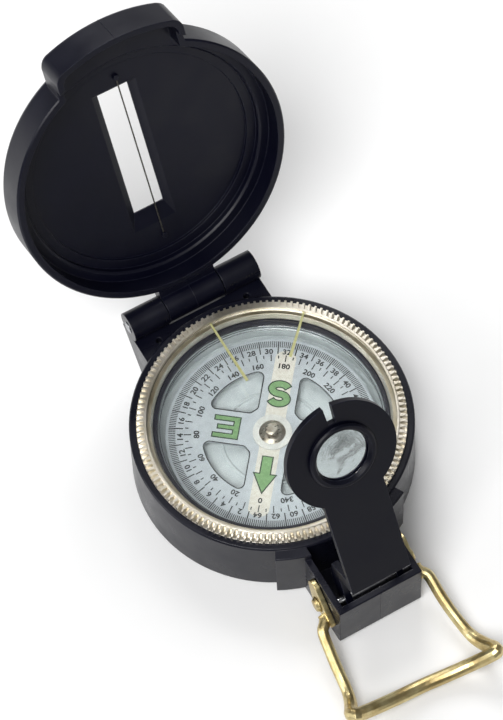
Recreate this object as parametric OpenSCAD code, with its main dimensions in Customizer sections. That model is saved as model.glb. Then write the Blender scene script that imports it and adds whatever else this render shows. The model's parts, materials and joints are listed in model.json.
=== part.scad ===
// Sighting compass: a round case with a hinged cover, a magnifying eyepiece on a folding arm,
// a turning bezel over a capsule with a pivoted card, and a wire thumb loop.
// Origin: on the card's axis, on the flat underside of the case. +Z up, +Y towards the cover hinge,
// -Y towards the eyepiece and the thumb loop. Stored pose: cover open, eyepiece raised, loop lying down.

/* [Case] */
// Diameter of the round case at its rim
case_d = 57; // [50:0.5:70]
// Height of the case from its underside to its rim
case_h = 15; // [14:0.25:20]
// Thickness of the case floor
floor_t = 2; // [1.5:0.1:3]
// How much wider the case is at its foot than at its rim, on the radius
case_draft = 0.25; // [0:0.05:0.6]
// How far the two shoulders stand out from the round case
shoulder_out = 2; // [1:0.1:3]
// Half angle that the shoulders span, from the eyepiece side
shoulder_angle = 28.5; // [25:0.5:31]

/* [Eyepiece tray] */
// Width of the tray across its walls
tray_w = 18.5; // [17:0.25:23]
// How far the tray reaches beyond the case wall
tray_l = 14; // [13:0.25:17.5]
// Height of the tray walls
tray_h = 13; // [11.5:0.1:13.2]
// Thickness of the tray walls
tray_wall = 1.3; // [1:0.1:1.8]

/* [Hinge] */
// Diameter of the hinge knuckles on the case
knuckle_d = 6.2; // [5.4:0.1:6.6]
// Length of the whole hinge barrel
hinge_w = 29.2; // [26:0.2:33]
// Share of the barrel that the cover's knuckle takes
cover_share = 0.43; // [0.35:0.01:0.5]
// Diameter of the hinge pin
hinge_pin_d = 1.8; // [1.4:0.1:2.2]
// Height of the hinge axis above the rim of the case
hinge_rise = 0.47; // [0.3:0.01:0.6]
// Distance from the case wall to the hinge axis
hinge_out = 4.4; // [4.2:0.05:5]

/* [Cover] */
// How far the cover stands out beyond the case wall
cover_out = 0.5; // [0:0.1:1]
// Depth of the cover from its rim to its top
cover_depth = 7.9; // [7.5:0.1:10]
// Thickness of the cover's top and wall
cover_t = 1.5; // [1.2:0.1:1.8]
// Width of the sighting window
window_w = 6.6; // [5:0.1:8]
// Length of the sighting window
window_l = 30.2; // [24:0.2:33]
// Angle at which the cover stands open
cover_open = 112; // [60:1:125]

/* [Hood] */
// How far the hood stands out beyond the case wall
hood_out = 5.7; // [5.4:0.1:6.1]
// Width of the hood
hood_w = 27.2; // [25:0.2:28]
// Thickness of the hood's wall
hood_t = 1.2; // [1:0.1:1.3]

/* [Bezel] */
// Diameter of the knurled bezel
bezel_d = 54; // [46:0.5:67]
// How far the bezel stands above the rim of the case
bezel_proud = 1.4; // [1:0.1:2]
// Number of ridges around the bezel
ridges = 134; // [90:2:160]
// Thickness of the bezel's crystal
crystal_t = 1; // [0.8:0.1:1.2]

/* [Card] */
// Diameter of the compass card
card_d = 43; // [36:0.5:44]
// Thickness of the compass card
card_t = 0.4; // [0.3:0.05:0.6]
// Direction in which the card's north points, from +X
north_angle = 231; // [0:1:359]
// Width of the bar magnet
magnet_w = 4.2; // [3:0.1:5]

/* [Eyepiece] */
// Width of the eyepiece arm
arm_w = 12.8; // [11:0.1:14.4]
// Thickness of the arm's plate
arm_t = 1.3; // [1.1:0.1:1.5]
// Distance along the arm from its pivot to the lens
lens_reach = 38.5; // [34:0.25:42]
// Outer diameter of the eyepiece ring
eye_d = 22.8; // [19:0.1:24]
// Diameter of the magnifying lens
lens_d = 11.8; // [9:0.1:13]
// Angle at which the arm stands, from lying flat on the bezel
arm_open = 62; // [45:1:70]

/* [Thumb loop] */
// Thickness of the loop's wire
wire_d = 2.3; // [1.8:0.1:2.5]
// Length of the loop from its rivets to the middle of its bar
loop_l = 23.8; // [20:0.2:26]
// Height of the rivets above the underside of the case
rivet_z = 6.7; // [5.5:0.1:7.5]

/* [Hidden] */
$fn = 96;
e = 0.01;
far = 200;

// Case levels and radii
case_r = case_d / 2;
tray_reach = case_r + tray_l;
cover_r = case_r + cover_out;
hood_r = case_r + hood_out;
foot_r = case_r + case_draft;
fit = 0.05;
bezel_r = min(bezel_d / 2, case_r - 1.5);
bezel_bore_r = bezel_r + fit;
ring_seat_z = case_h - 1.8;
washer_t = 0.28;
bezel_z = ring_seat_z + washer_t + 0.04;
bezel_top_z = case_h + bezel_proud;
retainer_r = bezel_r - 1.05;
retainer_t = 0.8;
lens_top_z = ring_seat_z - retainer_t;
capsule_r = retainer_r - 1;
capsule_lens_t = 1;
capsule_top_z = lens_top_z - capsule_lens_t;
capsule_wall = 1.6;
capsule_in_r = capsule_r - capsule_wall;
capsule_floor_t = 4.6;
capsule_floor_z = floor_t + capsule_floor_t;
shoulder_r = case_r + shoulder_out;
shoulder_z = case_h - 0.3;

// Bezel
crystal_r = bezel_r - 2.05;
crystal_z = bezel_top_z - 0.5 - crystal_t;
ledge_r = crystal_r - 0.8;
snap_wire_r = 0.35;
snap_z = ring_seat_z + 1;
line_t = 0.15;

// Card
card_r = min(card_d / 2, capsule_in_r - 1.5);
card_z = capsule_top_z - 3;
jewel_top_z = capsule_top_z - 0.3;
magnet_t = 0.7;
magnet_l = 2 * card_r - 5;
jewel_r = 1.5;
flange_r = 2.7;
hub_r = 3.95;
pin_r = 0.5;

// Hinge
hinge_y = case_r + hinge_out;
hinge_z = case_h + hinge_rise;
knuckle_r = knuckle_d / 2;
cover_knuckle_r = knuckle_r - 0.2;
cover_knuckle_w = hinge_w * cover_share;
hinge_pin_r = hinge_pin_d / 2;

// Cover
cover_gap = 0.3;
cover_z = case_h + cover_gap;
cover_top_z = cover_z + cover_depth;
ceiling_z = cover_top_z - cover_t;
rebate_r = bezel_r + 0.45;
step_r = rebate_r - 2.15;
step_z = ceiling_z - 2.2;
recess = 0.7;
bowl_r = step_r - 2;
window_x = -1;
window_y = -1.9;
bevel = 1.5;
wire_r = 0.15;
peg_r = 0.6;
peg_y1 = window_y - window_l / 2 - 3.2;
peg_y2 = window_y + window_l / 2 + 7.1;

// Hood
hood_in_r = hood_r - hood_t;
hood_z = tray_h + 0.4;
hood_top_z = cover_top_z - 1;
hood_round = 1.2;
hood_corner = 2.6;

// Eyepiece, drawn lying flat over the bezel, then raised about its pin
eye_y = -(tray_reach - 3.6);
eye_z = 10;
eye_pin_r = 0.9;
lug_r = 2;
lug_t = 1.4;
lug_in = 6.9;
lug_out = 9.9;
// the lug's underside is cut along the line that keeps clear of the closed cover's hood when raised
hood_clear = tray_reach - 3.6 - hood_r - 0.35;
lug_s = (hood_clear - lug_r * sin(arm_open)) / cos(arm_open);
lug_n = (lug_out * cos(arm_open) - hood_clear) / sin(arm_open);
plate_z = bezel_top_z + 0.35;
plate_top_z = plate_z + arm_t;
eye_r = eye_d / 2;
lens_r = lens_d / 2;
lens_seat_r = lens_r - 0.7;
lens_ring_r = lens_r + 1;
lens_ring_t = 0.95;
notch_mouth = 2;
notch_foot = 1.5;

// Thumb loop, drawn about its rivets with the arms along -Y
rivet_y = -(tray_reach - 6.6);
rivet_r = 0.8;
rivet_head_r = 1.7;
ear_t = 1;
ear_gap = 0.12;
ear_x = tray_w / 2 + ear_gap;
wire_rad = wire_d / 2;
bar_swell = 0.25;
loop_drop = asin((rivet_z - wire_rad * (1 + bar_swell) - 0.05) / loop_l);
loop_bow = 6;
loop_skew = 0.07;
loop_lean = 0.6;
loop_nip = 1.5;

// ---- small helpers -------------------------------------------------

// A ring about Z between two radii and two heights
module tube(r_out, r_in, z0, z1) {
  translate([0, 0, z0])
    difference() {
      cylinder(h = z1 - z0, r = r_out);
      translate([0, 0, -1]) cylinder(h = z1 - z0 + 2, r = r_in);
    }
}

// A plate in the Y-Z plane, centred on x
module side_plate(x, w) {
  translate([x - w / 2, 0, 0])
    rotate([90, 0, 90])
      linear_extrude(height = w) children();
}

// A shaft along X, centred on x
module shaft(x, w, y, z, r) {
  translate([x - w / 2, y, z])
    rotate([0, 90, 0]) cylinder(h = w, r = r);
}

// A wedge from the axis, its middle along -Y
module wedge(half, r, z0, z1) {
  translate([0, 0, z0])
    linear_extrude(height = z1 - z0)
      polygon([[0, 0], [-r * tan(half), -r], [r * tan(half), -r]]);
}

// Turns a shape drawn lying flat about a shaft along X
module swing(angle, y, z) {
  translate([0, y, z]) rotate([angle, 0, 0]) translate([0, -y, -z]) children();
}

// ---- case ------------------------------------------------------------

module case_outside() {
  edge = 0.5;
  rotate_extrude()
    polygon([[0, 0], [foot_r - edge, 0], [foot_r, edge], [case_r, case_h - 0.3],
             [case_r - 0.3, case_h], [0, case_h]]);
  intersection() {
    wedge(shoulder_angle, shoulder_r + 2, 0, shoulder_z);
    rotate_extrude()
      polygon([[0, 0], [shoulder_r - edge, 0], [shoulder_r, edge],
               [shoulder_r, shoulder_z - 0.2], [shoulder_r - 0.2, shoulder_z], [0, shoulder_z]]);
  }
  tray_block();
  hinge_block();
}

module tray_block() {
  edge = 0.5;
  side_plate(0, tray_w)
    polygon([[-10, 0], [-(tray_reach - edge), 0], [-tray_reach, edge],
             [-tray_reach, tray_h - 0.2], [-(tray_reach - 0.2), tray_h], [-10, tray_h]]);
}

// Bracket that carries the hinge, lower than the rim, with the knuckles at its ends
module hinge_block() {
  block_z = case_h - 2;
  intersection() {
    side_plate(0, hinge_w)
      polygon([[10, 2.5], [case_r + 0.5, 2.5], [hinge_y + knuckle_r * 0.86, hinge_z - 2.6],
               [hinge_y + knuckle_r * 0.6, block_z], [10, block_z]]);
    // seen from above the bracket widens towards the case
    linear_extrude(height = far)
      polygon([[-hinge_w / 2, far], [-hinge_w / 2, hinge_y - knuckle_r],
               [-hinge_w / 2 - 2.5, 10], [hinge_w / 2 + 2.5, 10],
               [hinge_w / 2, hinge_y - knuckle_r], [hinge_w / 2, far]]);
  }
  shaft(0, hinge_w, hinge_y, hinge_z, knuckle_r);
}

module case() {
  color("#1b1c22")
    difference() {
      case_outside();
      // stepped well: capsule, retaining ring, bezel
      translate([0, 0, floor_t]) cylinder(h = far, r = capsule_r + fit);
      translate([0, 0, lens_top_z]) cylinder(h = far, r = retainer_r + fit);
      translate([0, 0, ring_seat_z]) cylinder(h = far, r = bezel_bore_r);
      translate([0, 0, snap_z])
        rotate_extrude() translate([bezel_bore_r, 0]) circle(r = snap_wire_r + 0.05, $fn = 32);
      // tray, open at the top
      translate([-(tray_w / 2 - tray_wall), -(tray_reach - tray_wall), floor_t - 0.4])
        difference() {
          cube([tray_w - 2 * tray_wall, tray_reach - tray_wall, far]);
          translate([tray_w / 2 - tray_wall, tray_reach - tray_wall, -1])
            cylinder(h = far, r = case_r);
        }
      // room for the cover's knuckle
      shaft(0, cover_knuckle_w + 0.4, hinge_y, hinge_z, knuckle_r + 0.35);
      translate([-cover_knuckle_w / 2 - 0.2, hinge_y - 1, 0])
        cube([cover_knuckle_w + 0.4, far, far]);
      // pins
      shaft(0, hinge_w + 2, hinge_y, hinge_z, hinge_pin_r);
      shaft(0, tray_w + 2, eye_y, eye_z, eye_pin_r);
      shaft(0, tray_w + 2, rivet_y, rivet_z, rivet_r);
      // two blind holes on the bracket
      for (s = [-1, 1])
        translate([s * (hinge_w / 2 - 4.4), case_r - 0.2, case_h - 4]) cylinder(h = far, r = 0.7);
    }
}

// ---- capsule -----------------------------------------------------------

module capsule_cup() {
  color("#c9ced3")
    difference() {
      union() {
        translate([0, 0, floor_t]) cylinder(h = capsule_top_z - floor_t, r = capsule_r);
      }
      difference() {
        translate([0, 0, capsule_floor_z]) cylinder(h = far, r = capsule_in_r);
        cylinder(h = capsule_floor_z + 0.5, r = 1.7);
      }
      translate([0, 0, floor_t + 0.4]) cylinder(h = far, r = pin_r);
    }
}

module capsule_lens() {
  color("#e8eef2", 0.3)
    union() {
      translate([0, 0, capsule_top_z]) cylinder(h = capsule_lens_t, r = capsule_r);
      tube(capsule_in_r - 0.05, capsule_in_r - 0.85, capsule_top_z - 0.7, capsule_top_z + e);
    }
}

module retaining_ring() {
  color("#141418")
    tube(retainer_r, ledge_r - 1.3, lens_top_z, ring_seat_z);
}

module pivot_pin() {
  color("#c0c2c6") {
    translate([0, 0, floor_t + 0.4]) cylinder(h = jewel_top_z - 1.3 - floor_t - 0.4, r = pin_r);
    translate([0, 0, jewel_top_z - 1.3]) cylinder(h = 0.5, r1 = pin_r, r2 = 0.08);
  }
}

// ---- card ----------------------------------------------------------------

// One of the card's four windows, drawn in the quarter between +X and +Y
module card_window() {
  in_r = 6.3;
  out_r = 14.1;
  side = 3.8;
  offset(r = 1.1)
    offset(delta = -1.1)
      intersection() {
        difference() {
          circle(r = out_r);
          circle(r = in_r);
        }
        translate([side, side]) square(out_r);
      }
}

module compass_card() {
  color("#c3c9d0")
    rotate([0, 0, north_angle])
      translate([0, 0, card_z])
        linear_extrude(height = card_t)
          difference() {
            circle(r = card_r, $fn = 144);
            circle(r = jewel_r, $fn = 48);
            for (a = [0:90:270])
              rotate(a) card_window();
          }
}

module card_hub() {
  color("#e6e6e2")
    tube(hub_r, flange_r, card_z + card_t, card_z + card_t + 0.35);
}

module jewel_cup() {
  color("#b9a98c")
    difference() {
      rotate_extrude()
        polygon([[0, card_z - 0.9], [jewel_r, card_z - 0.9], [jewel_r, card_z + card_t],
                 [flange_r, card_z + card_t], [flange_r, card_z + card_t + 0.15],
                 [jewel_r + 0.3, card_z + card_t + 0.5], [jewel_r, card_z + card_t + 0.8],
                 [jewel_r, jewel_top_z - 0.3],
                 [jewel_r - 0.4, jewel_top_z], [0, jewel_top_z]]);
      translate([0, 0, card_z - 2]) cylinder(h = jewel_top_z - 1.25 - card_z + 2, r = pin_r + 0.2);
      translate([0, 0, jewel_top_z - 1.26]) cylinder(h = 0.6, r1 = pin_r + 0.2, r2 = 0.1);
    }
}

module bar_magnet() {
  color("#8f9296")
    rotate([0, 0, north_angle])
      difference() {
        translate([-magnet_l / 2, -magnet_w / 2, card_z - magnet_t])
          cube([magnet_l, magnet_w, magnet_t]);
        translate([0, 0, card_z - 2]) cylinder(h = 4, r = jewel_r);
      }
}

// ---- bezel -----------------------------------------------------------------

module bezel_washer() {
  color("#26262a")
    tube(bezel_r - 0.05, retainer_r + fit, ring_seat_z, ring_seat_z + washer_t);
}

module bezel_snap_ring() {
  color("#9a9c9f")
    translate([0, 0, snap_z])
      difference() {
        rotate_extrude() translate([bezel_bore_r, 0]) circle(r = snap_wire_r, $fn = 32);
        translate([0, -1.5, -1]) cube([far, 3, 2]);
      }
}

// Outline of the knurl: one blunt ridge for each step around the bezel
function knurl_points(r_top, r_foot, share) = [
  for (i = [0:ridges - 1], k = [0:3])
    let (a = 360 / ridges * (i + share[k]))
      (k < 2 ? r_top : r_foot) * [cos(a), sin(a)]
];

module bezel_ring() {
  knurl_r = bezel_r - 0.03;
  rim_z = case_h + 0.12;
  color("#d8cda9")
    difference() {
      union() {
        translate([0, 0, bezel_z]) cylinder(h = rim_z - bezel_z, r = bezel_r);
        translate([0, 0, rim_z - e])
          linear_extrude(height = bezel_top_z - 0.45 - rim_z)
            polygon(knurl_points(knurl_r, knurl_r - 1.5, [0, 0.34, 0.52, 0.82]));
        translate([0, 0, rim_z - e])
          linear_extrude(height = bezel_top_z - 0.12 - rim_z)
            polygon(knurl_points(knurl_r - 0.4, knurl_r - 1.55, [0.03, 0.31, 0.54, 0.8]));
        rotate_extrude()
          polygon([[0, rim_z], [knurl_r - 1.4, rim_z], [knurl_r - 1.4, bezel_top_z - 0.25],
                   [knurl_r - 1.6, bezel_top_z], [0, bezel_top_z]]);
      }
      translate([0, 0, crystal_z]) cylinder(h = far, r = crystal_r);
      rotate_extrude()
        polygon([[0, bezel_z - 1], [ledge_r - 0.4, bezel_z - 1], [ledge_r - 0.4, bezel_z + 0.3],
                 [ledge_r, crystal_z], [ledge_r, crystal_z + 1], [0, crystal_z + 1]]);
      translate([0, 0, snap_z])
        rotate_extrude() translate([bezel_bore_r, 0]) circle(r = snap_wire_r + 0.08, $fn = 32);
    }
}

module bezel_crystal() {
  color("#eef2f4", 0.25)
    translate([0, 0, crystal_z])
      cylinder(h = crystal_t, r = crystal_r - 0.02);
}

// A tapered strip on top of the crystal from radius r0 to r1
module luminous_strip(r0, r1, w0, w1) {
  translate([0, 0, crystal_z + crystal_t])
    linear_extrude(height = line_t)
      polygon([[r0, -w0 / 2], [r1, -w1 / 2], [r1, w1 / 2], [r0, w0 / 2]]);
}

module luminous_line_north() {
  color("#d3cf86") rotate([0, 0, 90]) luminous_strip(9.8, crystal_r - 0.1, 0.6, 0.42);
}

module luminous_line_45() {
  color("#d3cf86") rotate([0, 0, 45]) luminous_strip(14.3, crystal_r - 0.1, 0.6, 0.42);
}

// ---- cover, drawn closed ----------------------------------------------------

module cover_outside() {
  r = 1;
  rotate_extrude()
    polygon([[0, cover_z], [cover_r - 0.3, cover_z], [cover_r, cover_z + 0.3], [cover_r, cover_top_z - r],
             [cover_r - 0.29 * r, cover_top_z - 0.29 * r], [cover_r - r, cover_top_z], [0, cover_top_z]]);
  hood_block();
  // web from the wall to the knuckle
  side_plate(0, cover_knuckle_w)
    polygon([[cover_r - cover_t, cover_z + 0.2], [hinge_y, hinge_z],
               [hinge_y + 0.6, hinge_z + cover_knuckle_r - 0.1],
             [hinge_y - 0.8, hinge_z + cover_knuckle_r], [cover_r - cover_t, cover_z + 4.9]]);
  shaft(0, cover_knuckle_w, hinge_y, hinge_z, cover_knuckle_r);
}

// Hood over the eyepiece: an arched wall on a larger radius with rounded ends
module hood_plan(r, w) {
  // rounded corners: a small circle that touches the outer arc and the end from inside
  c = hood_corner;
  x = w / 2 - c;
  y = -sqrt((r - c) * (r - c) - x * x);
  difference() {
    intersection() {
      circle(r = r);
      translate([-w / 2, -far]) square([w, far]);
    }
    for (s = [-1, 1])
      difference() {
        polygon([[s * x, y], [s * (x + c - 0.002), y], [s * (x + c + 2), y], [s * (x + c + 2), y - far],
                 [s * x * (r + 2) / (r - c), y * (r + 2) / (r - c)]]);
        translate([s * x, y]) circle(r = c + 0.01);
      }
  }
}

module hood_block() {
  c = hood_round;
  difference() {
    union() {
      translate([0, 0, hood_z]) linear_extrude(height = hood_top_z - c - hood_z) hood_plan(hood_r, hood_w);
      for (k = [[0, 0.5, 0.2], [0.5, 1, 0.7]])
        translate([0, 0, hood_top_z - c + k[0] * c - e])
          linear_extrude(height = 0.5 * c + e) hood_plan(hood_r - k[2] * c, hood_w - 2 * k[2] * c);
    }
    translate([0, 0, -1]) cylinder(h = cover_z + 1, r = shoulder_r + 0.35);
    translate([0, 0, cover_z - 1]) cylinder(h = far, r = cover_r - 1.2);
    translate([-far, -cover_r * cos(45), 0]) cube([2 * far, far, far]);
  }
}

module window_cut() {
  top = window_w / 2;
  low = top + bevel;
  y0 = window_y - window_l / 2;
  y1 = window_y + window_l / 2;
  translate([window_x, 0, 0]) intersection() {
    translate([0, far / 2, 0]) rotate([90, 0, 0]) linear_extrude(height = far)
      polygon([[-low, ceiling_z - e], [low, ceiling_z - e], [top, cover_top_z - 0.3],
               [top, cover_top_z + 1],
               [-top, cover_top_z + 1], [-top, cover_top_z - 0.3]]);
    side_plate(0, 3 * window_w)
      polygon([[y0 - 1, ceiling_z - e], [y1 + 3.6, ceiling_z - e], [y1, cover_top_z - 0.3],
               [y1, cover_top_z + 1],
               [y0, cover_top_z + 1], [y0, cover_top_z - 0.3]]);
  }
}

module cover() {
  color("#17181e")
    swing(-cover_open, hinge_y, hinge_z)
      difference() {
        cover_outside();
        // stepped bowl
        rotate_extrude()
          polygon([[0, cover_z - 1], [rebate_r, cover_z - 1], [rebate_r, step_z], [step_r + 0.4, step_z],
                   [step_r, step_z + 0.35], [step_r, ceiling_z - recess], [0, ceiling_z - recess]]);
        translate([0, 0, cover_z]) cylinder(h = ceiling_z - cover_z, r = bowl_r);
        // inside of the hood
        difference() {
          translate([0, 0, hood_z - 1])
            linear_extrude(height = ceiling_z - 1 - hood_z)
              hood_plan(hood_in_r, hood_w - 2 * hood_t);
          translate([-far, -step_r * cos(40), 0]) cube([2 * far, far, far]);
        }
        window_cut();
        shaft(0, hinge_w, hinge_y, hinge_z, hinge_pin_r + fit);
        for (y = [peg_y1, peg_y2])
          translate([0, y, ceiling_z - 1]) cylinder(h = 1 + 0.8, r = peg_r);
      }
}

module sight_wire() {
  color("#8a8577")
    swing(-cover_open, hinge_y, hinge_z)
      translate([0, peg_y2 - peg_r + 0.02, ceiling_z - wire_r - 0.02])
        rotate([90, 0, 0]) cylinder(h = peg_y2 - peg_y1 - 2 * peg_r + 0.04, r = wire_r, $fn = 24);
}

module wire_pegs() {
  color("#0f0f13")
    swing(-cover_open, hinge_y, hinge_z)
      difference() {
        for (y = [peg_y1, peg_y2])
          translate([0, y, ceiling_z - 0.7]) cylinder(h = 0.7 + 0.8, r = peg_r);
        translate([0, peg_y2 - peg_r + 0.02, ceiling_z - wire_r - 0.02])
          rotate([90, 0, 0]) cylinder(h = peg_y2 - peg_y1 - 2 * peg_r + 0.04, r = wire_r, $fn = 24);
      }
}

module hinge_pin() {
  color("#b4b6b8")
    shaft(0, hinge_w, hinge_y, hinge_z, hinge_pin_r);
}

// ---- eyepiece, drawn folded over the bezel ----------------------------------

module arm_plan() {
  eye_c = eye_y + lens_reach;
  heel = eye_y + lug_in;
  translate([-arm_w / 2, heel]) square([arm_w, eye_c - heel]);
  translate([0, eye_c]) circle(r = eye_r);
}

module lug_profile() {
  heel = eye_y + lug_in;
  toe = eye_y + lug_out;
  translate([eye_y, eye_z]) circle(r = lug_r);
  polygon([[eye_y, eye_z - lug_r], [eye_y + lug_s, eye_z - lug_r], [toe, eye_z + lug_n],
           [toe, plate_top_z], [heel, plate_top_z], [heel, eye_z + lug_r], [eye_y, eye_z + lug_r]]);
}

module eyepiece_arm() {
  eye_c = eye_y + lens_reach;
  color("#15161b")
    swing(arm_open, eye_y, eye_z)
      difference() {
        union() {
          translate([0, 0, plate_z]) linear_extrude(height = arm_t) arm_plan();
          for (s = [-1, 1])
            side_plate(s * (arm_w - lug_t) / 2, lug_t) lug_profile();
        }
        translate([0, eye_c, plate_z - 1]) cylinder(h = 5, r = lens_seat_r);
        translate([0, eye_c, plate_z + 0.45]) cylinder(h = 5, r = lens_r);
        // sighting notch in the far side of the ring
        translate([0, eye_c, plate_z - 1])
          linear_extrude(height = 5)
            polygon([[-notch_foot / 2, lens_ring_r + 0.7], [notch_foot / 2, lens_ring_r + 0.7],
                     [notch_mouth / 2, eye_r + 1], [-notch_mouth / 2, eye_r + 1]]);
        shaft(0, arm_w + 2, eye_y, eye_z, eye_pin_r + fit);
      }
}

// Outline of a lens with a straight rim and a crowned top, from the axis outwards
function lens_outline(r, rim, sag, n = 10) =
  let (ball = (r * r + sag * sag) / (2 * sag))
    concat([[0, 0], [r, 0]],
           [for (i = [n:-1:0]) let (x = r * i / n) [x, rim + sag - ball + sqrt(ball * ball - x * x)]]);

module magnifier_lens() {
  color("#dfe8ec", 0.3)
    swing(arm_open, eye_y, eye_z)
      translate([0, eye_y + lens_reach, plate_z + 0.45])
        rotate_extrude() polygon(lens_outline(lens_r - 0.02, 0.7, 0.55));
}

module lens_ring() {
  eye_c = eye_y + lens_reach;
  color("#101116")
    swing(arm_open, eye_y, eye_z)
      translate([0, eye_c, 0])
        rotate_extrude()
          polygon([[lens_r - 0.55, plate_top_z + 0.25], [lens_r + 0.02, plate_top_z + 0.02],
                   [lens_r + 0.02, plate_top_z],
                   [lens_ring_r, plate_top_z], [lens_ring_r, plate_top_z + lens_ring_t - 0.35],
                   [lens_ring_r - 0.35, plate_top_z + lens_ring_t], [lens_r, plate_top_z + lens_ring_t]]);
}

module eyepiece_pin() {
  color("#a8916a")
    shaft(0, tray_w, eye_y, eye_z, eye_pin_r);
}

// ---- thumb loop ---------------------------------------------------------------

module loop_rivets() {
  head_x = ear_x + ear_t + 0.08;
  color("#c9b27a")
    for (s = [-1, 1])
      scale([s, 1, 1]) {
        shaft((head_x + tray_w / 2 - tray_wall) / 2 + 0.05, head_x - tray_w / 2 + tray_wall + 0.1,
              rivet_y, rivet_z, rivet_r);
        translate([head_x, rivet_y, rivet_z])
          rotate([0, 90, 0]) cylinder(h = 0.7, r1 = rivet_head_r, r2 = rivet_head_r - 0.5);
      }
}

// Half of the wire's middle line, from the ear to the middle of the bar: x, outwards, upwards
x0 = ear_x + ear_t / 2 + 0.65;
half_route = [
  [x0, 2.2, 0], [x0, 3, 0], [x0 + 0.5, 4, 0.1], [x0 + 1.3, 4.9, 0.1], [x0 + 1.65, 6.2, 0],
  [x0 + 1.9, loop_l * 0.4, 0], [x0 + 2.4, loop_l * 0.58, 0], [x0 + 3, loop_l * 0.74, 0],
  [x0 + 3.7, loop_l * 0.84, 0.6], [x0 + 4.8, loop_l * 0.93, 2.4],
  [x0 + 5.7, loop_l * 0.985, loop_bow * 0.72],
  [x0 + 5.5, loop_l + 0.5, loop_bow * 0.9], [x0 + 3.9, loop_l + 0.55, loop_bow * 0.72],
  [x0 + 1, loop_l + 0.4, loop_bow * 0.42], [x0 - 3, loop_l + 0.25, loop_bow * 0.19],
  [x0 - 7, loop_l + 0.1, loop_bow * 0.05], [0, loop_l, 0]
];
knots = concat(half_route,
  [for (i = [len(half_route) - 2:-1:0]) let (p = half_route[i]) [-p[0], p[1], p[2]]]);

// A smooth curve through the knots
function knot(i) = knots[max(0, min(len(knots) - 1, i))];
function curve_at(i, t) =
  let (p = knot(i - 1), q = knot(i), r = knot(i + 1), s = knot(i + 2))
    0.5 * (2 * q + (r - p) * t + (2 * p - 5 * q + 4 * r - s) * t * t + (3 * q - p - 3 * r + s) * t * t * t);
steps = 3;
even_route = concat([for (i = [0:len(knots) - 2], k = [0:steps - 1]) curve_at(i, k / steps)],
                    [knots[len(knots) - 1]]);
// the loop is bent a little out of true: it leans left, and the arm on the right is longer
// and its corner is drawn in
function shifted(x, t) =
  x - loop_lean * pow(sin(180 * min(1, t)), 2) - loop_nip * pow(t, 3) * max(0, x) / (x0 + 5.7);
route = [for (p = even_route) let (t = p[1] / loop_l)
  [shifted(p[0], t), p[1] + loop_skew * p[0] * t * t, p[2]]];

function unit(v) = v / norm(v);
function heading(i) = unit(route[min(len(route) - 1, i + 1)] - route[max(0, i - 1)]);
// Across-direction carried along the route without twist
function carried(i, c) = unit(c - (c * heading(i)) * heading(i));
function across(i) = i == 0 ? carried(0, [0, 0, 1]) : carried(i, across(i - 1));
across_all = [for (i = 0, c = carried(0, [0, 0, 1]); i < len(route); i = i + 1,
                   c = i < len(route) ? carried(i, c) : c) c];
sides = 12;
// the bar is a little thicker than the arms
function swell(i) = 1 + bar_swell * min(1, max(0, (route[i][1] / loop_l - 0.75) / 0.2));

module wire_sweep() {
  n = len(route);
  points = [for (i = [0:n - 1], k = [0:sides - 1])
    let (c = across_all[i], b = cross(heading(i), c), a = 360 / sides * k)
      let (p = route[i] + swell(i) * wire_rad * (cos(a) * c + sin(a) * b)) [p[0], -p[1], p[2]]];
  walls = [for (i = [0:n - 2], k = [0:sides - 1])
    let (l = (k + 1) % sides)
      [i * sides + k, i * sides + l, (i + 1) * sides + l, (i + 1) * sides + k]];
  polyhedron(points, concat([[for (k = [sides - 1:-1:0]) k]], walls,
                            [[for (k = [0:sides - 1]) (n - 1) * sides + k]]));
}

module ear_plan() {
  hull() {
    translate([-4.2, 0]) circle(r = wire_rad, $fn = 32);
    circle(r = 2.5, $fn = 32);
    translate([2.6, 3]) circle(r = 1.9, $fn = 32);
  }
}

module thumb_loop() {
  color("#d6c48f")
    translate([0, rivet_y, rivet_z])
      rotate([loop_drop, 0, 0])
        difference() {
          union() {
            wire_sweep();
            for (s = [-1, 1])
              scale([s, 1, 1]) translate([ear_x, 0, 0]) rotate([90, 0, 90])
                linear_extrude(height = ear_t) ear_plan();
          }
          shaft(0, far, 0, 0, rivet_r + fit);
        }
}

case();
capsule_cup();
capsule_lens();
pivot_pin();
retaining_ring();
bezel_washer();
bezel_snap_ring();
hinge_pin();
eyepiece_pin();
loop_rivets();
bezel_ring();
bezel_crystal();
luminous_line_north();
luminous_line_45();
compass_card();
card_hub();
jewel_cup();
bar_magnet();
cover();
sight_wire();
wire_pegs();
eyepiece_arm();
magnifier_lens();
lens_ring();
thumb_loop();
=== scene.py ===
# %% [markdown]
# # A sighting compass, finished in Blender
#
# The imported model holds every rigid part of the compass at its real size: case, cover, bezel,
# card, eyepiece and thumb loop. This script adds what a mould or a printer adds to them, such as
# the print on the card and the fine parting lines, and gives each part the look of its material.
# Each step says first what the piece is on the real object, and then makes it.

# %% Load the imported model
import json

import bmesh
import bpy
import numpy as np
from mathutils import Matrix, Vector


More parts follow.
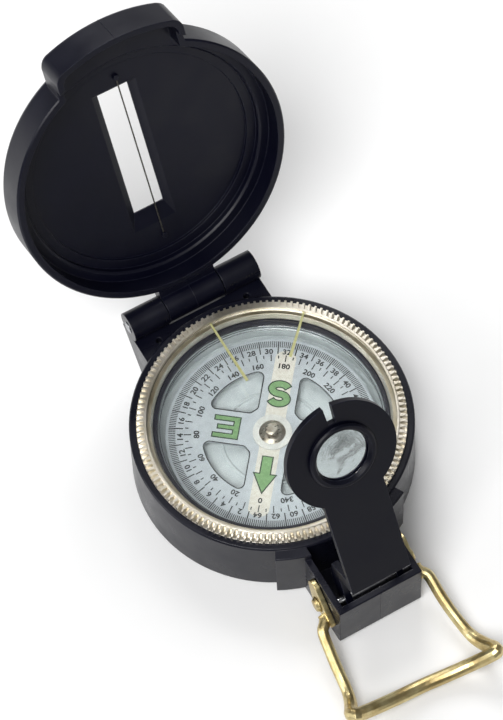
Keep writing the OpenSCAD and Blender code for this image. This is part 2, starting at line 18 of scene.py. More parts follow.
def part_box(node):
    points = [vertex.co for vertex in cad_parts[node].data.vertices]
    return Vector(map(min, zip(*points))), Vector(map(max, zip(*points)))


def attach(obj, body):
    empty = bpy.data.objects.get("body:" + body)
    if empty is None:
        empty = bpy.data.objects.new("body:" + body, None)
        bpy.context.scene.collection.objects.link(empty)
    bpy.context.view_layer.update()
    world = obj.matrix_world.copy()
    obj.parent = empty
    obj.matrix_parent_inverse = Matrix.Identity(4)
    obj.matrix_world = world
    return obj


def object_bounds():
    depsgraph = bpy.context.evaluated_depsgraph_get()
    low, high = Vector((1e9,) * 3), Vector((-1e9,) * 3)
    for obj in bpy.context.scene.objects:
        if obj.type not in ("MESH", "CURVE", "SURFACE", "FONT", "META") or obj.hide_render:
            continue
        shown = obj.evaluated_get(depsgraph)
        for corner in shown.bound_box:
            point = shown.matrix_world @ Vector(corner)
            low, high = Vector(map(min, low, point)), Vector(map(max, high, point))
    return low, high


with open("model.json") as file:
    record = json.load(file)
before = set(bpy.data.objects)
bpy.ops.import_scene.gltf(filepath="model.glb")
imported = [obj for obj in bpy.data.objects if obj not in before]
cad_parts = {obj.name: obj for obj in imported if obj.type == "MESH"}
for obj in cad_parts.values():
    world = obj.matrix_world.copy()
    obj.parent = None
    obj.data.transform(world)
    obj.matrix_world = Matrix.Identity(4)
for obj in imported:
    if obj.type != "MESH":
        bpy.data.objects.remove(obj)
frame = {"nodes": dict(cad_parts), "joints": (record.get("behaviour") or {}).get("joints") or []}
cad_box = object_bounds()
nodes = frame["nodes"]
hinges = {j["name"]: np.array(j["pos_m"]) for j in frame["joints"]}
MM = 0.001
print("parts", len(nodes), "box in mm", [[round(c / MM, 1) for c in corner] for corner in cad_box])

# %% [markdown]
# ## Camera
#
# A long lens from 0.62 m away, looking down at about 62 degrees from the eyepiece side and a
# little from the left. The camera's axes are worked out from the direction it looks in and
# its roll, which is how a tripod head is set: aim first, then level.

# %% Camera
AIM = Vector((4.66, 16.70, 9.24)) * MM
LOOK = Vector((0.21117, 0.42665, -0.87942)).normalized()
DISTANCE = 0.619
ROLL = np.radians(3.75)

level = LOOK.cross(Vector((0, 0, 1))).normalized()
down = LOOK.cross(level)
right = np.cos(ROLL) * level + np.sin(ROLL) * down
up = -LOOK.cross(right)
camera_data = bpy.data.cameras.new("camera")
camera_data.lens = 152.23
camera_data.sensor_width = 36
camera_data.sensor_fit = "AUTO"
camera_data.clip_start = 0.01
camera = bpy.data.objects.new("camera", camera_data)
camera.matrix_world = Matrix.Translation(AIM - DISTANCE * LOOK) @ Matrix((right, up, -LOOK)).transposed().to_4x4()
bpy.context.scene.collection.objects.link(camera)
bpy.context.scene.camera = camera
bpy.context.scene.view_settings.view_transform = "Standard"
print("camera at", [round(c, 3) for c in camera.matrix_world.translation])

# %% [markdown]
# ## How a material is made
#
# Every material below is a Principled shader whose colour, roughness and bump come from
# patterns on Object coordinates, turned to millimetres so that each pattern's size can be
# read as a real size. `add` puts one node into a tree with its settings and links, and
# `start_material` makes the shader and the millimetre coordinates that all of them begin with.

# %% Helpers for materials
def linear(code):
    """Linear RGBA from an sRGB hex code: c / 12.92 below 0.04045, else ((c + 0.055) / 1.055) ^ 2.4."""
    c = np.array([int(code[i:i + 2], 16) / 255 for i in (1, 3, 5)])
    c = np.where(c <= 0.04045, c / 12.92, ((c + 0.055) / 1.055) ** 2.4)
    return (*c.tolist(), 1.0)


def add(tree, kind, sockets=(), **settings):
    """Adds one node: settings are its properties, sockets give each input a value or a link."""
    made = tree.nodes.new("ShaderNode" + kind)
    for key, value in settings.items():
        setattr(made, key, value)
    for key, value in dict(sockets).items():
        if isinstance(value, bpy.types.NodeSocket):
            tree.links.new(value, made.inputs[key])
        else:
            made.inputs[key].default_value = value
    return made


def start_material(name, **shader_values):
    """A new material's tree, its Principled shader and the output that gives a point in mm."""
    material = bpy.data.materials.new(name)
    material.use_nodes = True
    tree = material.node_tree
    shader = tree.nodes["Principled BSDF"]
    for key, value in shader_values.items():
        shader.inputs[key.replace("_", " ")].default_value = value
    point = add(tree, "TexCoord").outputs["Object"]
    mm = add(tree, "VectorMath", {0: point, 1: (1000, 1000, 1000)}, operation="MULTIPLY").outputs[0]
    return material, tree, shader, mm


def paint(tree, shader, factor, low, high):
    """Blends the base colour between two hex colours by a pattern's value."""
    blend = add(tree, "Mix", {0: factor, 6: linear(low), 7: linear(high)}, data_type="RGBA")
    tree.links.new(blend.outputs[2], shader.inputs["Base Color"])
    return blend.outputs[2]


def span(tree, value, low, high, out_low, out_high):
    """Carries a value from one range to another, held at the ends."""
    sockets = {0: value, 1: low, 2: high, 3: out_low, 4: out_high}
    return add(tree, "MapRange", sockets).outputs[0]


# %% [markdown]
# ## Moulded black plastic
#
# The case, cover and eyepiece are injection-moulded ABS from a spark-eroded tool: nearly black
# with a cool cast, satin, with a very fine grain. Handling polishes the corners first, so the
# edges are a little lighter and smoother. A Bevel node finds the edges: where its rounded normal
# turns away from the true one there is an edge, and the same rounded normal gives each sharp CAD
# corner the thin highlight of a moulded radius.

# %% Moulded black plastic
def moulded_black(name, low, high, rough_low, rough_high, edge, radius, gloss=0.33):
    """Black ABS: colour and gloss drift over 6 mm patches, 0.35 mm grain as bump, paler edges."""
    material, tree, shader, mm = start_material(name, IOR=1.5, Specular_IOR_Level=gloss)
    patches = add(tree, "TexNoise", {"Vector": mm, "Scale": 1 / 6, "Detail": 3}).outputs[0]
    grain = add(tree, "TexNoise", {"Vector": mm, "Scale": 1 / 0.35, "Detail": 2}).outputs[0]
    rounded = add(tree, "Bevel", {"Radius": radius * MM}, samples=6).outputs[0]
    true = add(tree, "NewGeometry").outputs["Normal"]
    facing = add(tree, "VectorMath", {0: rounded, 1: true}, operation="DOT_PRODUCT").outputs[1]
    worn = span(tree, facing, 0.99, 0.85, 0.0, 1.0)
    specks = add(tree, "TexNoise", {"Vector": mm, "Scale": 1 / 0.8, "Detail": 2}).outputs[0]
    rubbed = add(tree, "Math", {0: worn, 1: span(tree, specks, 0.42, 0.6, 0.15, 0.9)}, operation="MULTIPLY").outputs[0]
    body = add(tree, "Mix", {0: patches, 6: linear(low), 7: linear(high)}, data_type="RGBA").outputs[2]
    colour = add(tree, "Mix", {0: rubbed, 6: body, 7: linear(edge)}, data_type="RGBA").outputs[2]
    tree.links.new(colour, shader.inputs["Base Color"])
    tree.links.new(span(tree, patches, 0.3, 0.7, rough_low, rough_high), shader.inputs["Roughness"])
    bump = add(tree, "Bump", {"Strength": 0.25, "Distance": 0.02 * MM, "Height": grain, "Normal": rounded})
    tree.links.new(bump.outputs[0], shader.inputs["Normal"])
    return material


case_black = moulded_black("moulded_abs_case", "#080914", "#10111f", 0.24, 0.36, "#2b2c3a", 0.25)
cover_black = moulded_black("moulded_abs_cover", "#050614", "#0a0b1c", 0.3, 0.42, "#242636", 0.3, 0.26)
arm_black = moulded_black("moulded_abs_arm", "#03040e", "#070816", 0.3, 0.44, "#34364a", 0.18, 0.2)
ring_black = moulded_black("moulded_abs_retaining_ring", "#0c0d18", "#171823", 0.3, 0.4, "#34353f", 0.1)
print("black plastics", [m.name for m in (case_black, cover_black, arm_black, ring_black)])

# %% [markdown]
# ## Gold-coloured metal
#
# The bezel is turned aluminium with a pale champagne anodised coat, and its ridges are rolled in.
# The thumb loop and its rivets are brass-plated steel wire, warmer and glossier, with faint brown
# tarnish. Both are metals, so the base colour is the colour of the reflection itself.

# %% Anodised bezel and brass wire
def coated_metal(name, bright, dull, rough_low, rough_high, patch, radius, hair_depth=0.05):
    """A metal with tarnish in soft patches and hairline marks 0.4 mm apart, drawn out along X."""
    material, tree, shader, mm = start_material(name, Metallic=1.0)
    cloud = add(tree, "TexNoise", {"Vector": mm, "Scale": 1 / patch, "Detail": 4, "Roughness": 0.6}).outputs[0]
    stretched = add(tree, "Mapping", {"Vector": mm, "Scale": (0.25, 1, 1)}).outputs[0]
    hairs = add(tree, "TexNoise", {"Vector": stretched, "Scale": 1 / 0.4, "Detail": 1}).outputs[0]
    paint(tree, shader, span(tree, cloud, 0.35, 0.7, 0.0, 1.0), bright, dull)
    tree.links.new(span(tree, hairs, 0.3, 0.7, rough_low, rough_high), shader.inputs["Roughness"])
    rounded = add(tree, "Bevel", {"Radius": radius * MM}, samples=6).outputs[0]
    bump = add(tree, "Bump", {"Strength": hair_depth, "Distance": 0.004 * MM, "Height": hairs, "Normal": rounded})
    tree.links.new(bump.outputs[0], shader.inputs["Normal"])
    return material


bezel_gold = coated_metal("anodised_champagne_aluminium", "#ece6da", "#d9d1bd", 0.3, 0.38, 5, 0.14, 0.01)
wire_brass = coated_metal("brass_plated_wire", "#dfd2a0", "#b49c68", 0.3, 0.44, 4, 0.3)
pin_steel = coated_metal("drawn_steel_pin", "#c9cacc", "#9c9ea2", 0.22, 0.36, 3, 0.08)
magnet_grey = coated_metal("plated_bar_magnet", "#9fa2a6", "#7f8286", 0.35, 0.5, 2, 0.05)
jewel_metal = coated_metal("turned_jewel_cup", "#bdb7ab", "#8c8070", 0.26, 0.38, 1.5, 0.1)
sight_dark = coated_metal("oxidised_sighting_wire", "#6a6761", "#454340", 0.4, 0.55, 1, 0.02)
print("metals", [m.name for m in (bezel_gold, wire_brass, pin_steel, magnet_grey, jewel_metal, sight_dark)])

# %% [markdown]
# ## Clear plastic
#
# The crystal and the capsule's lid are clear acrylic. Real light passes them into the capsule, but
# refracted shadows cost a path tracer far more samples than they are worth here, so rays from
# the lamps take a Transparent shader through them instead. Finger smudges show as slightly
# duller patches in the reflection, 8 mm across. The small magnifier is moulded rather than cut, and
# its surface keeps faint waves 2.5 mm apart, which bend what is seen through it.

# %% Clear plastic
def clear_plastic(name, tint, ior, smudge, wave):
    """Glass-like plastic: roughness about doubles to smudge in patches, waves of wave mm bend the view."""
    material, tree, shader, mm = start_material(name, IOR=ior, Transmission_Weight=1.0)
    shader.inputs["Base Color"].default_value = linear(tint)
    cloud = add(tree, "TexNoise", {"Vector": mm, "Scale": 1 / 8, "Detail": 5, "Distortion": 1.2}).outputs[0]
    tree.links.new(span(tree, cloud, 0.5, 0.75, smudge * 0.45, smudge), shader.inputs["Roughness"])
    swell = add(tree, "TexNoise", {"Vector": mm, "Scale": 1 / 2.5, "Detail": 0, "Distortion": 0.5}).outputs[0]
    bump = add(tree, "Bump", {"Strength": 1.0, "Distance": wave * MM, "Height": swell})
    tree.links.new(bump.outputs[0], shader.inputs["Normal"])
    lamp = add(tree, "LightPath").outputs["Is Shadow Ray"]
    through = add(tree, "BsdfTransparent", {0: linear(tint)}).outputs[0]
    mixed = add(tree, "MixShader", {0: lamp, 1: shader.outputs[0], 2: through})
    tree.links.new(mixed.outputs[0], tree.nodes["Material Output"].inputs[0])
    return material


crystal_clear = clear_plastic("clear_acrylic_crystal", "#fbfcfb", 1.49, 0.02, 0.002)
lid_clear = clear_plastic("clear_acrylic_capsule_lid", "#fafbfb", 1.49, 0.02, 0.002)
lens_clear = clear_plastic("polished_acrylic_magnifier", "#f4f6f4", 1.49, 0.14, 0.06)

# %% [markdown]
# ## Capsule, card and inks
#
# The capsule's cup is pale moulded polystyrene. The card is a thin disc lacquered a soft blue
# grey, and its print sits on it in thin films of ink: dark grey for the scales, pale green with
# a dark green edge for the letters and the arrow, and an off-white band along north and south.

# %% Capsule, card and inks
def flat_finish(name, low, high, size, rough, bump_height, **values):
    """A paint, ink or plain plastic: colour mottled between two close tones over patches of size mm."""
    material, tree, shader, mm = start_material(name, Roughness=rough, **values)
    mottle = add(tree, "TexNoise", {"Vector": mm, "Scale": 1 / size, "Detail": 4}).outputs[0]
    paint(tree, shader, span(tree, mottle, 0.35, 0.65, 0.0, 1.0), low, high)
    tree.links.new(span(tree, mottle, 0.3, 0.7, rough - 0.06, rough + 0.06), shader.inputs["Roughness"])
    bump = add(tree, "Bump", {"Strength": 0.2, "Distance": bump_height * MM, "Height": mottle})
    tree.links.new(bump.outputs[0], shader.inputs["Normal"])
    return material


cup_pale = flat_finish("moulded_polystyrene_cup", "#a6acae", "#b0b6b8", 3, 0.35, 0.02)
card_lacquer = flat_finish("lacquered_card", "#989da2", "#a1a6aa", 1.5, 0.45, 0.01)
band_white = flat_finish("off_white_ink", "#b0aba2", "#bbb7ae", 0.8, 0.5, 0.01)
scale_ink = flat_finish("dark_scale_ink", "#131518", "#1e2125", 0.5, 0.5, 0.01)
edge_ink = flat_finish("dark_green_ink", "#13251a", "#1b3022", 0.5, 0.5, 0.01)
green_ink = flat_finish("pale_green_luminous_ink", "#5c7e50", "#6a8b5e", 0.7, 0.5, 0.01)
hub_white = flat_finish("moulded_white_hub", "#adaca8", "#b9b8b4", 1, 0.45, 0.01)
line_paint = flat_finish("luminous_line_paint", "#b5b478", "#c2c18d", 0.6, 0.5, 0.01)
washer_fibre = flat_finish("pressed_fibre_washer", "#232326", "#2f2f33", 0.4, 0.8, 0.03)
# painted shade: a dark grey for two rings that stand in for the lid's stepped edge, which looks dark through clear
# plastic
step_shade_grey = flat_finish("painted_step_shade", "#2a2d33", "#3a3e45", 1, 0.4, 0.01)

# %% [markdown]
# ## Giving the parts their materials
#
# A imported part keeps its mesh; only its material slots change.

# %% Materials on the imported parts
finishes = {
    case_black: ["case"],
    cover_black: ["cover", "wire_pegs"],
    arm_black: ["eyepiece_arm", "lens_ring"],
    ring_black: ["retaining_ring"],
    bezel_gold: ["bezel_ring"],
    wire_brass: ["thumb_loop", "loop_rivets"],
    pin_steel: ["eyepiece_pin", "hinge_pin", "pivot_pin", "bezel_snap_ring"],
    sight_dark: ["sight_wire"],
    magnet_grey: ["bar_magnet"],
    jewel_metal: ["jewel_cup"],
    crystal_clear: ["bezel_crystal"],
    lid_clear: ["capsule_lens"],
    lens_clear: ["magnifier_lens"],
    cup_pale: ["capsule_cup"],
    card_lacquer: ["compass_card"],
    hub_white: ["card_hub"],
    line_paint: ["luminous_line_north", "luminous_line_45"],
    washer_fibre: ["bezel_washer"],
}
for material, names in finishes.items():
    for name in names:
        nodes[name].data.materials.clear()
        nodes[name].data.materials.append(material)
left = sorted(set(nodes) - {name for names in finishes.values() for name in names})
print("parts given a material", len(nodes) - len(left), "left over", left)

# %% [markdown]
# ## How a new piece is made
#
# A piece is a grid of points: a profile of two numbers (across, up) carried along a path. The
# grid becomes quads by index arithmetic on whole arrays. A closed path joins its last row to its
# first, and an open one gets a flat cap at each end. All lengths are in millimetres until the
# mesh is written.

# %% Helpers for pieces
def make_piece(name, points, faces, material, body, slot, smooth=False):
    """Writes points (n, 3) in mm and lists of corner numbers into one object riding on a body."""
    mesh = bpy.data.meshes.new(name)
    mesh.from_pydata((np.asarray(points) * MM).tolist(), [], faces)
    mesh.validate()
    mesh.polygons.foreach_set("use_smooth", np.full(len(mesh.polygons), smooth))
    mesh.materials.append(material)
    piece = bpy.data.objects.new(name, mesh)
    bpy.context.scene.collection.objects.link(piece)
    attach(piece, body)
    print(name, len(mesh.polygons), "faces on", body)
    return piece


def grid_faces(rows, cols, closed):
    """Quads between neighbours: point (i, j) is number i * cols + j, and j always wraps round."""
    i, j = np.meshgrid(np.arange(rows if closed else rows - 1), np.arange(cols), indexing="ij")
    k, l = (i + 1) % rows, (j + 1) % cols
    quads = np.stack([i * cols + j, i * cols + l, k * cols + l, k * cols + j], -1).reshape(-1, 4)
    faces = quads.tolist()
    if not closed:
        faces += [list(range(cols))[::-1], [(rows - 1) * cols + n for n in range(cols)]]
    return faces


def carry(path, across, rise, profile):
    """Point = path + u * across + v * rise for each path point and each profile corner (u, v)."""
    u, v = np.asarray(profile, float).T
    path, across, rise = (np.broadcast_to(a, np.shape(path)) for a in (path, across, rise))
    return (path[:, None] + u[:, None] * across[:, None] + v[:, None] * rise[:, None]).reshape(-1, 3)


def slab(outline, low, high):
    """A flat outline (n, 2) given a thickness: the bottom ring, the top ring, walls and two caps."""
    outline = np.asarray(outline, float)
    n = len(outline)
    area = np.sum(outline[:, 0] * np.roll(outline[:, 1], -1) - np.roll(outline[:, 0], -1) * outline[:, 1])
    outline = outline if area > 0 else outline[::-1]
    points = np.vstack([np.c_[outline, np.full(n, z)] for z in (low, high)])
    ring = np.arange(n)
    after = (ring + 1) % n
    walls = np.stack([ring, after, after + n, ring + n], -1).tolist()
    return points, walls + [ring[::-1].tolist(), (ring + n).tolist()]


def joined(parts):
    """Joins (points, faces) pairs into one, moving each part's corner numbers along."""
    points, faces, start = [], [], 0
    for p, f in parts:
        points.append(p)
        faces += [[start + c for c in face] for face in f]
        start += len(p)
    return np.vstack(points), faces


def grow(outline, amount):
    """Moves each edge of an anticlockwise outline outwards: each corner goes along its mitre."""
    outline = np.asarray(outline, float)
    edge = np.roll(outline, -1, 0) - outline
    edge /= np.linalg.norm(edge, axis=1)[:, None]
    out = np.c_[edge[:, 1], -edge[:, 0]]
    before = np.roll(out, 1, 0)
    return outline + amount * (out + before) / (1 + np.sum(out * before, 1))[:, None]


# %% [markdown]
# ## The card's print: where it goes
#
# The card turns with its magnet, so its print is laid out in the card's own directions, east and
# north, and turned to where the card rests. The magnet lies along north, so the direction can be
# checked against it: the mesh's longest direction comes out of a singular value decomposition.

# %% Card directions
NORTH = np.radians(231)
north = np.array([np.cos(NORTH), np.sin(NORTH)])
east = np.array([north[1], -north[0]])
bar = np.array([v.co for v in nodes["bar_magnet"].data.vertices])[:, :2]
along = np.linalg.svd(bar - bar.mean(0), full_matrices=False)[2][0]
print("print lies along the magnet:", abs(along @ north) > 0.9999)

card_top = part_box("compass_card")[1].z / MM
card_edge = max(abs(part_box("compass_card")[0].x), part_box("compass_card")[1].x) / MM
FILM = 0.02


def on_card(points):
    """East, north and height in the card's directions, turned to the frame's x, y and z."""
    points = np.asarray(points, float)
    return np.c_[points[:, :1] * east + points[:, 1:2] * north, points[:, 2]]


def print_on_card(name, parts, material, slot="card_print"):
    """Puts parts laid out in east and north onto the card as one piece."""
    points, faces = joined(parts)
    return make_piece(name, on_card(points), faces, material, "card", slot)


# %% [markdown]
# ## Off-white band
#
# The band runs along north and south under all the other print and ends in round ends near the
# rim.

# %% Off-white band
BAND = 2.1
END_R = 19.3
turn = np.linspace(0, np.pi, 25)
tip = np.c_[BAND * np.cos(turn), END_R - BAND + BAND * np.sin(turn) * 0.75]
band_outline = np.vstack([tip, -tip])
print_on_card("card_band", [slab(band_outline, card_top, card_top + FILM)], band_white)

# %% [markdown]
# ## Window outlines
#
# Each window is a quarter of a ring with round corners. Its outline is the same shape drawn
# smaller and pushed out by the corner radius: straight pushes along the sides, and a fan of
# directions at each corner. A narrow ribbon of ink follows that path.

# %% Window outlines
IN_R, OUT_R, SIDE, CORNER = 6.3, 14.1, 3.8, 1.1
near, low_r, high_r = SIDE + CORNER, IN_R + CORNER, OUT_R - CORNER


def arc(radius, start, end, n):
    """Points and outward directions on a circle about the card's middle."""
    a = np.linspace(start, end, n)
    d = np.c_[np.cos(a), np.sin(a)]
    return radius * d, d


lean_out, lean_in = np.arcsin(near / high_r), np.arcsin(near / low_r)
outer, outer_way = arc(high_r, lean_out, np.pi / 2 - lean_out, 30)
inner, inner_way = arc(low_r, np.pi / 2 - lean_in, lean_in, 16)
sides = [(outer, outer_way),
         (np.array([outer[-1], inner[0]]), np.tile([-1.0, 0.0], (2, 1))),
         (inner, -inner_way),
         (np.array([inner[-1], outer[0]]), np.tile([0.0, -1.0], (2, 1)))]
path, way = [], []
for n, (points, ways) in enumerate(sides):
    after = sides[(n + 1) % 4][1][0]
    start, end = np.arctan2(*ways[-1][::-1]), np.arctan2(*after[::-1])
    fan = start + np.linspace(0, 1, 9)[1:-1] * ((end - start) % (2 * np.pi))
    fan_ways = np.c_[np.cos(fan), np.sin(fan)]
    path += [points + CORNER * ways, points[-1] + CORNER * fan_ways]
    way += [ways, fan_ways]
path, way = np.vstack(path), np.vstack(way)
ribbon = [(-0.02, FILM), (0.2, FILM), (0.2, 0), (-0.02, 0)]
quarters = []
for k in range(4):
    spin = np.array([[np.cos(k * np.pi / 2), np.sin(k * np.pi / 2)], [-np.sin(k * np.pi / 2), np.cos(k * np.pi / 2)]])
    p = np.c_[path @ spin, np.full(len(path), card_top)]
    w = np.c_[way @ spin, np.zeros(len(way))]
    quarters.append((carry(p, w, np.array([0, 0, 1.0]), ribbon), grid_faces(len(p), 4, True)))
print_on_card("card_window_outlines", quarters, scale_ink)

# %% [markdown]
# ## Scales
#
# The outer scale has 320 fine lines with a longer one at each odd hundred, and the inner scale
# has a line every 5 degrees, longer every 10. All of a scale's lines are one array of boxes.

# %% Scale lines
def scale_lines(bearings, start, end, width, height):
    """Thin boxes pointing outwards: a corner is radius * outward + side * across, by bearing."""
    b = np.radians(np.asarray(bearings, float))[:, None]
    start, end = (np.broadcast_to(v, len(bearings))[:, None] for v in (start, end))
    radius = np.concatenate([start, end, end, start] * 2, 1)
    side = np.tile([-1, -1, 1, 1], 2) * width / 2
    x = radius * np.sin(b) + side * np.cos(b)
    y = radius * np.cos(b) - side * np.sin(b)
    z = np.broadcast_to(np.repeat([height, height + FILM], 4), x.shape)
    corners = np.array([[0, 3, 2, 1], [4, 5, 6, 7], [0, 1, 5, 4], [1, 2, 6, 5], [2, 3, 7, 6], [3, 0, 4, 7]])
    faces = corners[:, ::-1][None] + 8 * np.arange(len(b))[:, None, None]
    return np.stack([x, y, z], -1).reshape(-1, 3), faces.reshape(-1, 4).tolist()


ink_top = card_top + FILM
fine = scale_lines(np.arange(320) * 1.125, 19.5, 20.9, 0.17, ink_top)
hundreds = scale_lines((np.arange(32) + 0.5) * 11.25, 18.0, 20.9, 0.24, ink_top)
fives = scale_lines(np.arange(36) * 10 + 5, 16.9, 17.6, 0.22, ink_top)
tens = scale_lines(np.arange(36) * 10, 16.3, 17.8, 0.22, ink_top)
print_on_card("card_scale_lines", [fine, hundreds, fives, tens], scale_ink)

# %% [markdown]
# ## Numbers on the scales
#
# Blender's own font gives the figures. Each number is typeset lying flat, made a mesh, moved out
# to its radius and turned to its bearing, so that its top points outwards.

# %% Numbers
def typeset(words, height, wide):
    """Points and faces of flat figures, welded: height is their height in mm, wide stretches them."""
    curve = bpy.data.curves.new("words", "FONT")
    curve.body = words
    curve.align_x = "CENTER"
    curve.align_y = "CENTER"
    curve.resolution_u = 3
    curve.offset = 0.03
    curve.extrude = 0.5
    holder = bpy.data.objects.new("words", curve)
    mesh = bpy.data.meshes.new_from_object(holder)
    welded = bmesh.new()
    welded.from_mesh(mesh)
    bmesh.ops.remove_doubles(welded, verts=welded.verts, dist=1e-5)
    points = np.array([v.co for v in welded.verts])
    faces = [[v.index for v in f.verts] for f in welded.faces]
    welded.free()
    bpy.data.objects.remove(holder)
    bpy.data.curves.remove(curve)
    bpy.data.meshes.remove(mesh)
    low, high = points.min(0), points.max(0)
    scale = height / (high[1] - low[1])
    middle = (low + high) / 2
    flat = (points - middle) * (scale * wide, scale, FILM)
    return flat, faces


def ring_of_numbers(numbers, bearings, radius, height, wide, base):
    """Typesets each number and turns it to its bearing at one radius."""
    parts = []
    for number, bearing in zip(numbers, np.radians(bearings)):
        flat, faces = typeset(str(number), height, wide)
        x, y, z = flat.T
        out = radius + y
        c, s = np.cos(bearing), np.sin(bearing)
        parts.append((np.c_[out * s + x * c, out * c - x * s, base + FILM / 2 + z], faces))
    return parts


hundreds_numbers = [n if n else 64 for n in range(0, 64, 2)]
outer_numbers = ring_of_numbers(hundreds_numbers, np.arange(32) * 11.25, 18.55, 1.2, 1.1, ink_top)
inner_numbers = ring_of_numbers(range(0, 360, 20), np.arange(18) * 20.0, 15.25, 1.2, 1.1, ink_top)
print_on_card("card_numbers", outer_numbers + inner_numbers, scale_ink)

# %% [markdown]
# ## Letters and arrow
#
# East and west are block letters drawn as plain outlines, and south is a stroke of one width
# carried along two arcs. North is an arrow. Each is printed twice: a dark green shape a little
# larger, then the pale green one on top, which is how a keyline is printed.

# %% Letters and arrow
def stroke(line, half, beyond, base):
    """A flat stroke along a line: point = line +- half * side, run past both ends by beyond."""
    heading = np.gradient(line, axis=0)
    heading /= np.linalg.norm(heading, axis=1)[:, None]
    line = line.copy()
    line[0] -= beyond * heading[0]
    line[-1] += beyond * heading[-1]
    side = np.c_[-heading[:, 1], heading[:, 0], np.zeros(len(line))]
    profile = [(-half, 0), (half, 0), (half, FILM), (-half, FILM)]
    path = np.c_[line, np.full(len(line), base)]
    return carry(path, side, np.array([0, 0, 1.0]), profile), grid_faces(len(line), 4, False)


a = np.radians(np.linspace(25, 270, 30))
over = np.c_[1.65 * np.cos(a), 1.12 + 1.12 * np.sin(a)]
south = np.vstack([over[:-1], -over[::-1]]) + (0, -8.9)
E_SHAPE = np.array([(-2.7, -2.6), (2.8, -2.6), (2.8, -1.3), (-1.2, -1.3), (-1.2, -0.6), (2.0, -0.6), (2.0, 0.6),
                    (-1.2, 0.6), (-1.2, 1.3), (2.8, 1.3), (2.8, 2.6), (-2.7, 2.6)])
W_SHAPE = np.array([(-1.55, -2.6), (-0.45, -2.6), (0, -0.3), (0.45, -2.6), (1.55, -2.6), (3.0, 2.6), (1.7, 2.6),
                    (0.95, -0.7), (0.5, 1.6), (-0.5, 1.6), (-0.95, -0.7), (-1.7, 2.6), (-3.0, 2.6)])
ARROW = np.array([(-1.2, 5.3), (1.2, 5.3), (1.2, 9.2), (2.5, 9.2), (0, 13.9), (-2.5, 9.2), (-1.2, 9.2)])
KEY = 0.26
shapes = [(E_SHAPE + (9.3, 0.1), None), (W_SHAPE - (9.3, 0), None), (ARROW, None)]
dark = [slab(grow(shape, 0), ink_top, ink_top + FILM) for shape, _ in shapes]
pale = [slab(grow(shape, -KEY), ink_top + FILM, ink_top + 2 * FILM) for shape, _ in shapes]
dark.append(stroke(south, 0.62 + KEY, KEY, ink_top))
pale.append(stroke(south, 0.62, 0.0, ink_top + FILM))
print_on_card("card_letters_keyline", dark, edge_ink)
print_on_card("card_letters", pale, green_ink)

# %% [markdown]
# ## Rings in the capsule
#
# The lid is stepped at its edge to fit the cup, and that step looks like two thin dark circles
# through the clear plastic: these are painted shade, two dark grey rings laid on the lid. The cup's
# floor carries a low moulded rib that shows through the card's windows.

# %% Rings in the capsule
def ring(radius, height, profile, n=180):
    """A profile of (outwards, up) carried once round a circle about the card's axis."""
    a = np.linspace(0, 2 * np.pi, n, endpoint=False)
    out = np.c_[np.cos(a), np.sin(a), np.zeros(n)]
    return carry(radius * out + (0, 0, height), out, np.array([0, 0, 1.0]), profile), grid_faces(n, len(profile), True)


lid_low, lid_high = (corner.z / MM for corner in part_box("capsule_lens"))
cup_in = card_edge + 1.5
thin = [(-0.08, 0.05), (0.08, 0.05), (0.08, 0), (-0.08, 0)]
# painted shade: two dark grey rings laid on the clear lid where its stepped edge looks dark
steps = [ring(cup_in + 0.25, lid_high, thin), ring(cup_in - 0.55, lid_high, thin)]
make_piece("capsule_step_shade_lines", *joined(steps), step_shade_grey, "case", "capsule_plastic")
floor_z = 6.6
half_round = [(0.35 * np.cos(t), 0.35 * np.sin(t) - 0.02) for t in np.linspace(0, np.pi, 9)]
make_piece("capsule_floor_rib", *ring(10.2, floor_z, half_round[::-1]), cup_pale, "case", "capsule_plastic", True)

# %% [markdown]
# ## Parting lines
#
# Where the two halves of a mould meet, the plastic keeps a hairline ridge. One runs down the end
# of the tray, one over the lip of the hood, and one round the cover's knuckle. The hood's line is
# laid out with the cover closed and swung open about the hinge, as the cover itself is.

# %% Parting lines
hinge_y, hinge_z = hinges["cover_hinge"][1:] / MM
OPEN = np.radians(-112)


def swing_open(points):
    """Turns points about the hinge: y and z rotate by the angle at which the cover stands open."""
    x, y, z = np.asarray(points, float).T
    c, s = np.cos(OPEN), np.sin(OPEN)
    y, z = y - hinge_y, z - hinge_z
    return np.c_[x, hinge_y + c * y - s * z, hinge_z + s * y + c * z]


ridge = [(-0.12, -0.05), (0.12, -0.05), (0.05, 0.06), (-0.05, 0.06)]
case_low, case_high = (np.array(corner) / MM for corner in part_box("case"))
tray_end = case_low[1]
z = np.linspace(0.8, 12.7, 12)
line = np.c_[np.zeros(12), np.full(12, tray_end), z]
seam = carry(line, np.array([-1.0, 0, 0]), np.array([0, -1.0, 0]), ridge)
make_piece("tray_parting_line", seam, grid_faces(12, 4, False), case_black, "case", "black_plastic")

HOOD_R, HOOD_LOW, HOOD_TOP = 34.2, 13.4, 22.2
rise = [(0, 0), (0, HOOD_TOP - 1.2), (-0.24, HOOD_TOP - 0.6), (-0.84, HOOD_TOP), (-4.5, HOOD_TOP)]
route = np.array([(0, -HOOD_R - out, up_to if up_to else HOOD_LOW) for out, up_to in rise])
facing_out = np.array([(0, -1, 0), (0, -1, 0.1), (0, -0.8, 0.6), (0, -0.3, 0.95), (0, 0, 1.0)])
seam = carry(route, np.array([-1.0, 0, 0]), facing_out, ridge)
make_piece("hood_parting_line", swing_open(seam), grid_faces(5, 4, False), cover_black, "cover", "black_plastic")

KNUCKLE_R = 2.9
a = np.radians(np.linspace(-70, 200, 60))
out = np.c_[np.zeros(60), np.cos(a), np.sin(a)]
seam = carry(KNUCKLE_R * out + (0, hinge_y, hinge_z), np.array([1.0, 0, 0]), out, ridge)
make_piece("knuckle_parting_line", seam, grid_faces(60, 4, False), cover_black, "cover", "black_plastic")

# %% [markdown]
# ## Ends of the hinge pin
#
# The pin is held by spreading its ends, which leaves a small bright dome with a ring round it.
# A dome is its profile turned about the pin: radius against height, closed at the pole.

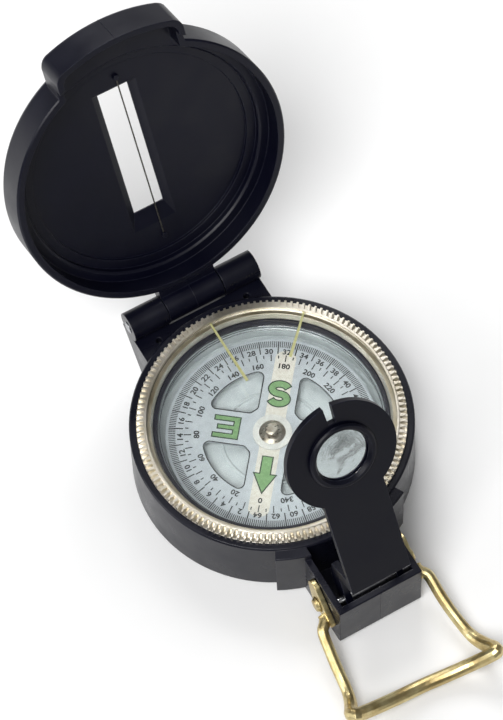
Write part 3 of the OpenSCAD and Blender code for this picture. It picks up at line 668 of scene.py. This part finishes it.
# %% Ends of the hinge pin
def turned(profile, side, x_at, n=40):
    """Turns (radius, height) about the pin: x grows with height on the side given, y and z circle."""
    radius, height = np.asarray(profile, float).T
    a = np.linspace(0, 2 * np.pi, n, endpoint=False) * side
    x = np.broadcast_to(x_at + side * height, (n, len(height)))
    y = hinge_y + np.cos(a)[:, None] * radius
    z = hinge_z + np.sin(a)[:, None] * radius
    rows = len(height)
    index = np.arange(n)[:, None] * rows + np.arange(rows - 1)
    after = (np.arange(n)[:, None] + 1) % n * rows + np.arange(rows - 1)
    quads = np.stack([index, after, after + 1, index + 1], -1).reshape(-1, 4).tolist()
    caps = [[i * rows for i in range(n)][::-1], [i * rows + rows - 1 for i in range(n)]]
    return np.stack([x, y, z], -1).reshape(-1, 3), quads + caps


dome = [(1.25, 0), (1.3, 0.12), (1.12, 0.22), (0.98, 0.12), (0.85, 0.16), (0.6, 0.3), (0.3, 0.36), (0.02, 0.38)]
pin_low, pin_high = (corner.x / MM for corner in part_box("hinge_pin"))
heads = joined([turned(dome, -1, pin_low), turned(dome, 1, pin_high)])
make_piece("hinge_pin_heads", *heads, pin_steel, "case", "steel", True)

# %% [markdown]
# ## Floor and light
#
# A pale matt table under a dim sky, with three wide softboxes: a strong one high on the left, one
# behind, and a low one at the side. The sky is dim so that black plastic stays black where it
# faces up, while its walls mirror the bright table.

# %% Floor and light
floor_mesh = bpy.data.meshes.new("floor")
floor_mesh.from_pydata([(-2, -2, 0), (2, -2, 0), (2, 2, 0), (-2, 2, 0)], [], [(0, 1, 2, 3)])
floor = bpy.data.objects.new("floor", floor_mesh)
bpy.context.scene.collection.objects.link(floor)
floor.location.z = cad_box[0][2] - 0.0002
floor_mesh.materials.append(flat_finish("pale_matt_table", "#f3f3f3", "#f6f6f6", 40, 0.9, 0.01))

world = bpy.data.worlds.new("studio")
world.use_nodes = True
world.node_tree.nodes["Background"].inputs[0].default_value = linear("#ffffff")
world.node_tree.nodes["Background"].inputs[1].default_value = 0.17
bpy.context.scene.world = world


def softbox(name, place, size, power):
    """A square area lamp that faces the compass."""
    data = bpy.data.lights.new(name, "AREA")
    data.size = size
    data.energy = power
    lamp = bpy.data.objects.new(name, data)
    place = Vector(place)
    turn_to = (AIM - place).to_track_quat("-Z", "Y").to_matrix().to_4x4()
    lamp.matrix_world = Matrix.Translation(place) @ turn_to
    bpy.context.scene.collection.objects.link(lamp)
    return lamp


softbox("key_softbox", (-0.45, -0.35, 0.95), 0.6, 9.8)
softbox("back_softbox", (0.25, 0.75, 0.7), 0.5, 5.6)
softbox("side_softbox", (-0.9, 0.25, 0.35), 0.45, 2.6)
